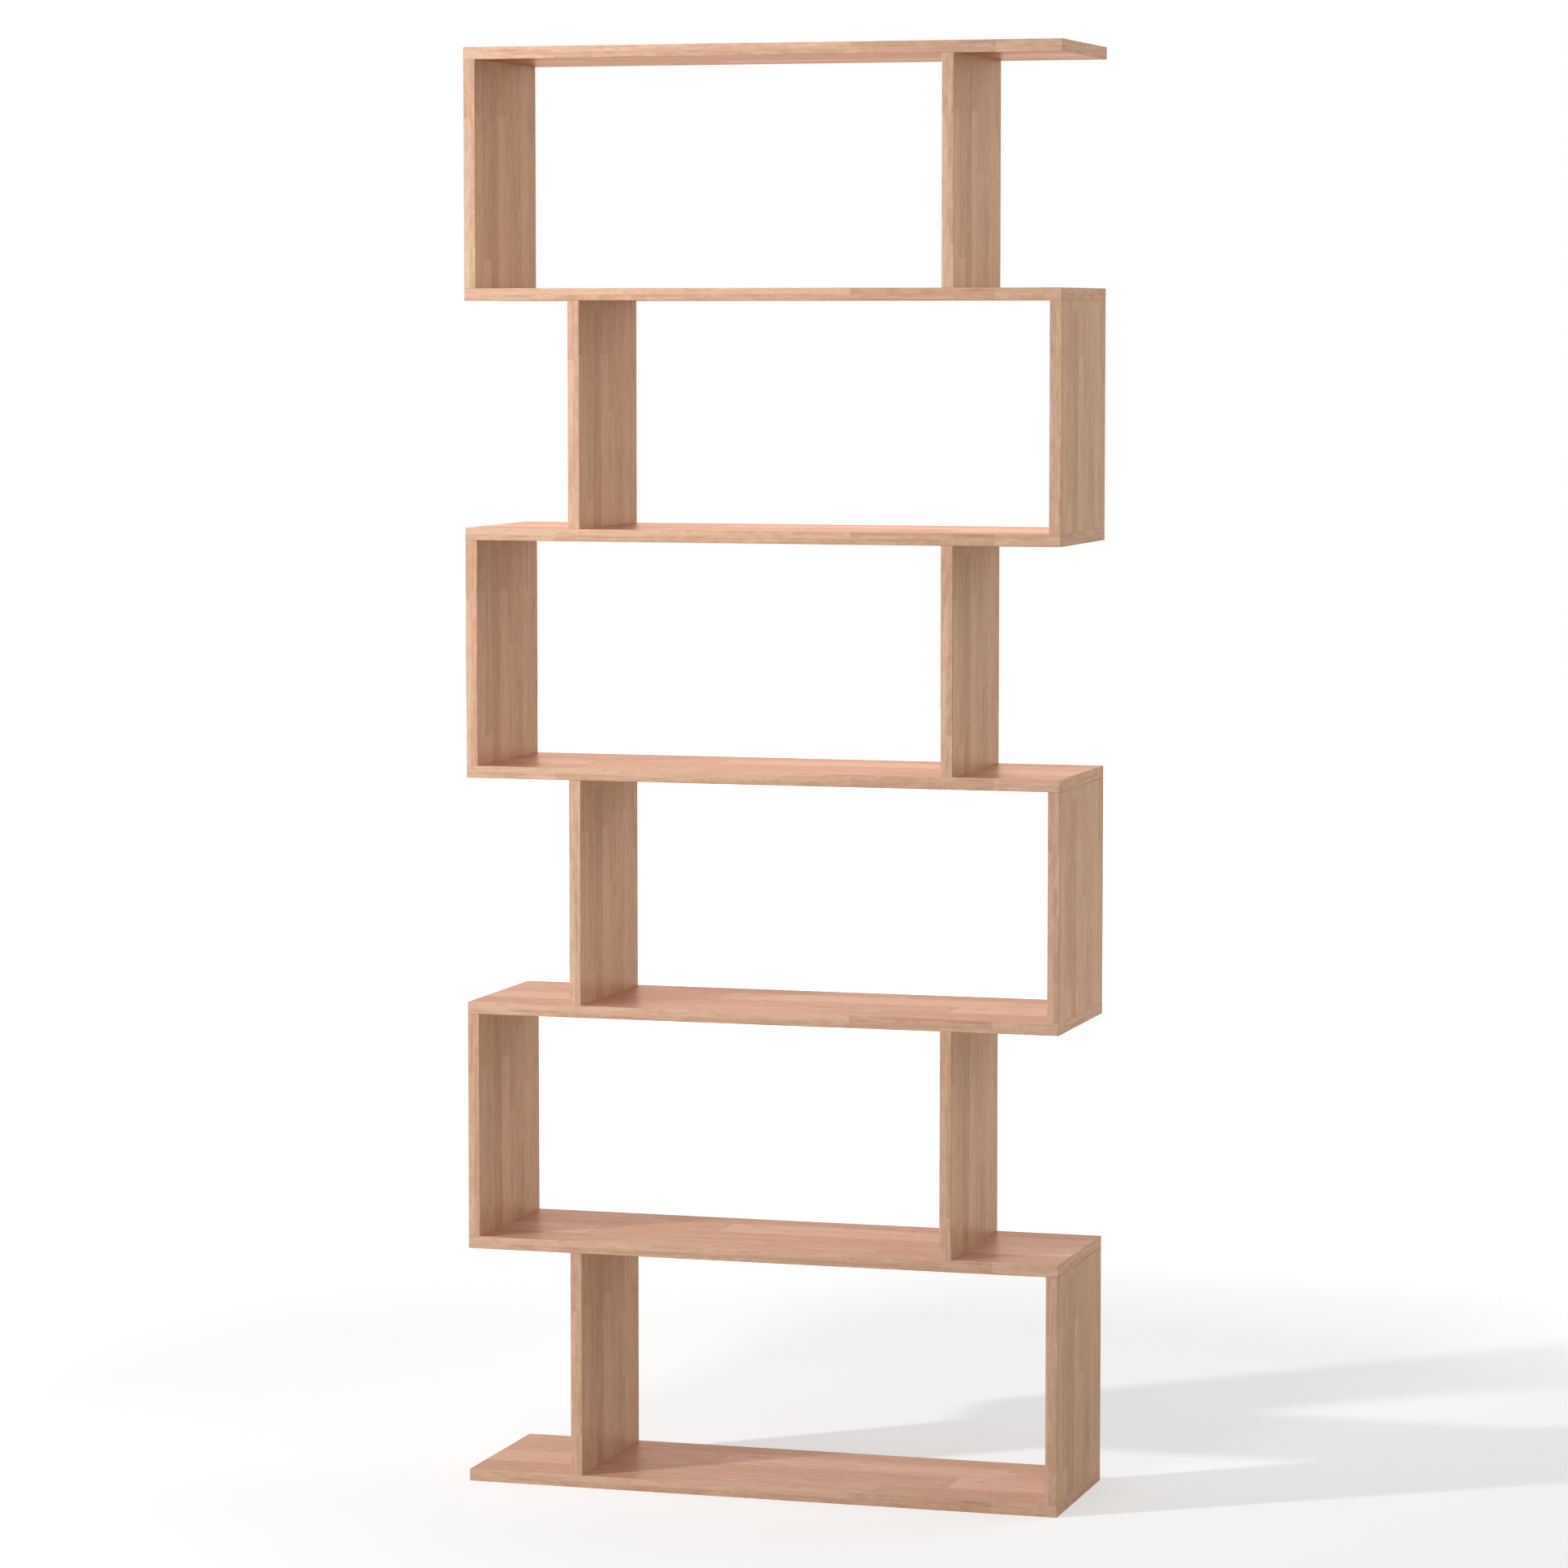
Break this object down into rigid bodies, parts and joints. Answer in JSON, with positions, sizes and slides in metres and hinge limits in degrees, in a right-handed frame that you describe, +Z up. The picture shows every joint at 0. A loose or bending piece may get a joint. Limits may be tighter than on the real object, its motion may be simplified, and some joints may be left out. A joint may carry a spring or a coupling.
{
  "type": "zigzag bookshelf",
  "caption": "Tall open zigzag bookshelf of wood-faced boards: full-width shelves carried by uprights that step from side to side at each level.",
  "frame": {"origin": "middle of the footprint, on the floor", "axes": "+X along the width towards the right end, +Y towards the rear, +Z up; the front faces -Y"},
  "size_m": [0.8, 0.24, 1.885],
  "materials": {
    "wood_board": "stave-pattern beech face, satin",
    "wood_edging": "matching beech edging, satin",
    "dowel_wood": "raw beech",
    "bolt_steel": "zinc-plated",
    "cam_zinc": "die-cast, dull",
    "cap_plastic": "wood-tone, matt"
  },
  "bodies": {
    "root": {"shelf_1": "wood_board", "shelf_1_edging": "wood_edging", "shelf_2": "wood_board", "shelf_2_edging": "wood_edging", "shelf_3": "wood_board", "shelf_3_edging": "wood_edging", "shelf_4": "wood_board", "shelf_4_edging": "wood_edging", "shelf_5": "wood_board", "shelf_5_edging": "wood_edging", "shelf_6": "wood_board", "shelf_6_edging": "wood_edging", "shelf_7": "wood_board", "shelf_7_edging": "wood_edging", "upright_1_left": "wood_board", "upright_1_left_edging": "wood_edging", "upright_1_right": "wood_board", "upright_1_right_edging": "wood_edging", "upright_2_left": "wood_board", "upright_2_left_edging": "wood_edging", "upright_2_right": "wood_board", "upright_2_right_edging": "wood_edging", "upright_3_left": "wood_board", "upright_3_left_edging": "wood_edging", "upright_3_right": "wood_board", "upright_3_right_edging": "wood_edging", "upright_4_left": "wood_board", "upright_4_left_edging": "wood_edging", "upright_4_right": "wood_board", "upright_4_right_edging": "wood_edging", "upright_5_left": "wood_board", "upright_5_left_edging": "wood_edging", "upright_5_right": "wood_board", "upright_5_right_edging": "wood_edging", "upright_6_left": "wood_board", "upright_6_left_edging": "wood_edging", "upright_6_right": "wood_board", "upright_6_right_edging": "wood_edging", "wood_dowels": "dowel_wood", "cam_bolts": "bolt_steel", "cam_locks": "cam_zinc", "cover_caps": "cap_plastic"}
  },
  "joints": []
}
